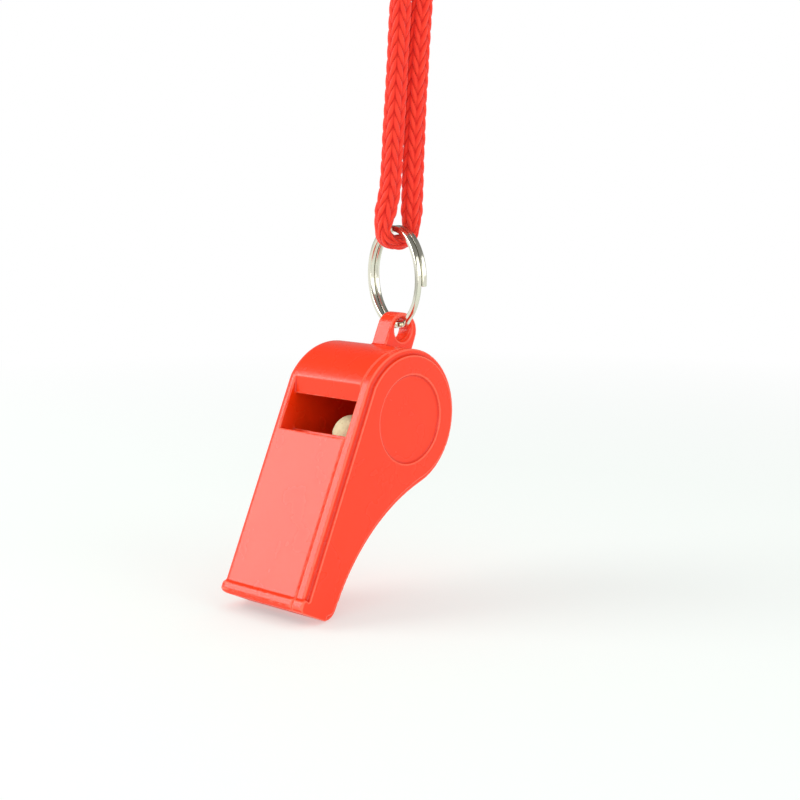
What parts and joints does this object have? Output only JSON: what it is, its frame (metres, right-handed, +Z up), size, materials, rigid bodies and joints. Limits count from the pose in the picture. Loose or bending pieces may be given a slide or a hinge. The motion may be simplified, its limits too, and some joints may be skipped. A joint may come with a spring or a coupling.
{
  "type": "sports whistle",
  "caption": "Pea whistle with flat top plate, window, side cover and thumb recess, hung by a split ring from a knotted cord lanyard",
  "frame": {"origin": "the hang point on top of the lanyard's knot, over the cord's two strands", "axes": "+Z up; +Y from the side cover through the whistle's width to its closed side; the mouth points down and to -X"},
  "size_m": [0.0428, 0.0201, 0.1204],
  "materials": {
    "red_plastic": "glossy moulded red plastic",
    "cork": "pale cork ball",
    "nickel_wire": "nickel-plated spring steel wire",
    "red_cord": "knitted red polyester cord"
  },
  "bodies": {
    "lanyard": {"lanyard_cord": "red_cord", "lanyard_knot": "red_cord"},
    "ring": {"split_ring": "nickel_wire"},
    "whistle": {"whistle_body": "red_plastic", "side_cover": "red_plastic"},
    "pea": {"pea": "cork"}
  },
  "joints": [
    {"name": "ring_swing", "type": "hinge", "parent": "lanyard", "child": "ring", "pos_m": [-0.00293, 0.00101, -0.0537], "axis": [-0.3256, -0.9455, 0], "range_deg": [-75, 75]},
    {"name": "whistle_swing", "type": "hinge", "parent": "ring", "child": "whistle", "pos_m": [-0.00293, 0.00101, -0.07093], "axis": [0, 1, 0], "range_deg": [-85, 75]},
    {"name": "pea_orbit", "type": "hinge", "parent": "whistle", "child": "pea", "pos_m": [-0.01048, 0.00101, -0.08472], "axis": [0, 1, 0], "continuous": true}
  ]
}
